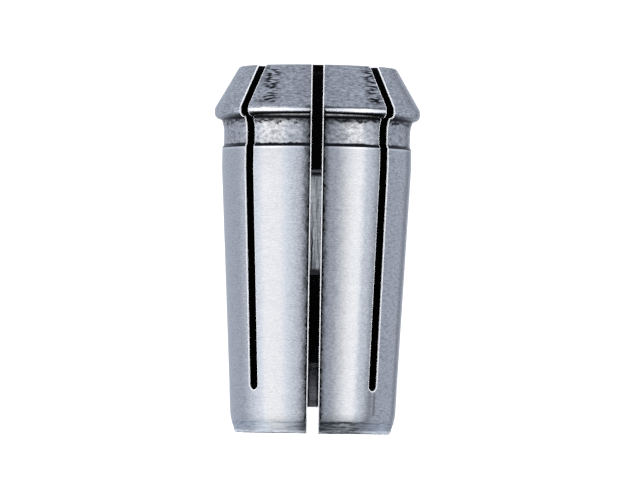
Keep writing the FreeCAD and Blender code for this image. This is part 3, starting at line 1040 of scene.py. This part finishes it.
# %% Floor
FLOOR_HALF = 1.0
FLOOR_PAINT = (0.9, 0.9, 0.9, 1)
floor_mesh = bpy.data.meshes.new("floor")
floor_corners = [(-FLOOR_HALF, -FLOOR_HALF, 0), (FLOOR_HALF, -FLOOR_HALF, 0), (FLOOR_HALF, FLOOR_HALF, 0),
                 (-FLOOR_HALF, FLOOR_HALF, 0)]
floor_mesh.from_pydata(floor_corners, [], [(0, 1, 2, 3)])
floor = bpy.data.objects.new("floor", floor_mesh)
scene = bpy.context.scene
scene.collection.objects.link(floor)
floor.visible_glossy = False
paint = bpy.data.materials.new("floor_paint")
paint.use_nodes = True
paint.node_tree.nodes["Principled BSDF"].inputs["Base Color"].default_value = FLOOR_PAINT
floor_mesh.materials.append(paint)
print("floor laid, metres across:", 2 * FLOOR_HALF)

# %% [markdown]
# Polished steel shows its surroundings, so the light is built as surroundings: a bluish room, two soft
# windows with a brighter lamp in front of each, and a few dark things, of which the camera's own stand
# in the middle is the darkest. Area lamps would need a long search for their places, while here each
# thing is one row: its colour or strength, a stretch of azimuth and a stretch of height, in degrees as
# the collet sees them.

# %% Lights and screens
UNLIT = (0.01, 0.01, 0.012)
WINDOW_LEFT, WINDOW_RIGHT = (-38, -28, 7, 14), (-25, -17, 7, 14)
LIGHTS = {
    "room": ((0.46, 0.50, 0.585), ALL_ROUND, (-40, -18, 66, 76)),
    "table": ((0.50, 0.50, 0.50), ALL_ROUND, (-92, -91, -66, -58)),
    "left window": ((0.765, 0.79, 0.81), (-112, -72, -40, -8), WINDOW_LEFT),
    "left lamp": ((0.225, 0.15, 0.065), (-74, -70, -45, -41), WINDOW_LEFT),
    "right window": ((0.53, 0.56, 0.575), (25, 50, 62, 96), WINDOW_RIGHT),
    "right lamp": ((0.625, 0.553, 0.465), (23, 43, 59, 63), WINDOW_RIGHT),
}
SCREENS = {
    "camera stand": (0.97, (-18, -11, 11, 16), (-60, -55, 40, 50)),
    "curtain": (0.6, (74, 86, 89, 92), (-60, -55, 30, 50)),
    "door": (0.4, (139, 145, 155, 162), (-60, -55, 30, 50)),
}
print("lights and screens:", len(LIGHTS), len(SCREENS))

# %% [markdown]
# The camera itself sees plain white behind the collet, apart from one small dark spot that shows through
# the top of the split. The spot is a patch of the backdrop, given by its place across and by its height
# in degrees. A card behind the nose would do too, but it would throw a shadow and show in the steel. A
# ray that comes from the camera takes the backdrop, and any other ray takes the light.

# %% The world
BACKDROP, SPOT = (1.2, 1.2, 1.2), (0.002, 0.002, 0.002)
SPOT_ACROSS, SPOT_HEIGHTS, BEHIND = (-0.0031, -0.003, 0.0019, 0.002), (2.79, 2.8, 2.891, 2.893), (0.0, 0.1)


def studio(name):
    """The world's light, built from the lights and screens above, and its backdrop."""
    world = bpy.data.worlds.new(name)
    world.use_nodes = True
    tree = world.node_tree
    tree.nodes.clear()
    azimuth, towards = bearings(tree, add_node(tree, "ShaderNodeTexCoord").outputs["Generated"])
    height = maths(tree, "DEGREES", maths(tree, "ARCSINE", towards["Z"]))
    total = UNLIT
    for colour, azimuths, heights in LIGHTS.values():
        total = mix(tree, patch(tree, azimuth, height, azimuths, heights), total, colour, blend="ADD")
    for strength, azimuths, heights in SCREENS.values():
        total = mix(tree, patch(tree, azimuth, height, azimuths, heights, strength), total, UNLIT)
    spot = product(tree, patch(tree, towards["X"], height, SPOT_ACROSS, SPOT_HEIGHTS),
                   slide(tree, towards["Y"], *BEHIND))
    from_camera = add_node(tree, "ShaderNodeLightPath").outputs["Is Camera Ray"]
    seen = mix(tree, from_camera, total, mix(tree, spot, BACKDROP, SPOT))
    background = add_node(tree, "ShaderNodeBackground", [(0, seen)])
    add_node(tree, "ShaderNodeOutputWorld", [(0, background.outputs[0])])
    return world


scene.world = studio("studio")
print("nodes in the world:", len(scene.world.node_tree.nodes))

# %% [markdown]
# A wide lamp overhead keeps the floor white. A brighter room would do that too, but it would wash out the
# bands on the steel. The lamp stays out of the mirror images.

# %% Overhead lamp
LAMP_HEIGHT = 0.8
LAMP_WATTS = 26
lamp_data = bpy.data.lights.new("overhead", "AREA")
lamp_data.shape = "DISK"
lamp_data.size = LAMP_HEIGHT
lamp_data.energy = LAMP_WATTS
lamp = bpy.data.objects.new("overhead", lamp_data)
lamp.location = (0, 0, LAMP_HEIGHT)
lamp.visible_glossy = False
scene.collection.objects.link(lamp)
print("lamp hung at", LAMP_HEIGHT, "m with", LAMP_WATTS, "W")

# %% [markdown]
# The curves of the rims tell where the camera stood: low, just above the floor, and about 19 lengths of
# the collet away. From so far off, a long lens is needed. Its length follows from the distance and from
# how many pixels of the picture a millimetre of the collet fills. The picture leans by less than one
# degree, so the camera is rolled about its own line of sight.

# %% Camera
DISTANCE = 0.76
PIXELS_PER_MM = 9.14
PICTURE_WIDTH = 640
SENSOR_WIDTH = 36
ASIDE, EYE_HEIGHT, AIM_HEIGHT, ROLL = 0.0005, 0.002, 0.0212, 0.9
camera_data = bpy.data.cameras.new("camera")
camera_data.sensor_width = SENSOR_WIDTH
camera_data.lens = SENSOR_WIDTH * DISTANCE / MM * PIXELS_PER_MM / PICTURE_WIDTH
camera_data.clip_start = 0.01
camera = bpy.data.objects.new("camera", camera_data)
scene.collection.objects.link(camera)
stand_point = Vector((ASIDE, -DISTANCE, EYE_HEIGHT))
aim_point = Vector((ASIDE, 0, AIM_HEIGHT))
facing = (aim_point - stand_point).to_track_quat("-Z", "Y").to_matrix()
rolled = Matrix.Rotation(math.radians(ROLL), 3, "Z")
camera.matrix_world = Matrix.Translation(stand_point) @ (facing @ rolled).to_4x4()
scene.camera = camera
scene.view_settings.view_transform = "Standard"
print("lens:", round(camera_data.lens, 1), "mm")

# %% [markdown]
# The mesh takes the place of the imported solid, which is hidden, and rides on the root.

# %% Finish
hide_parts("collet")
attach(collet, "root")
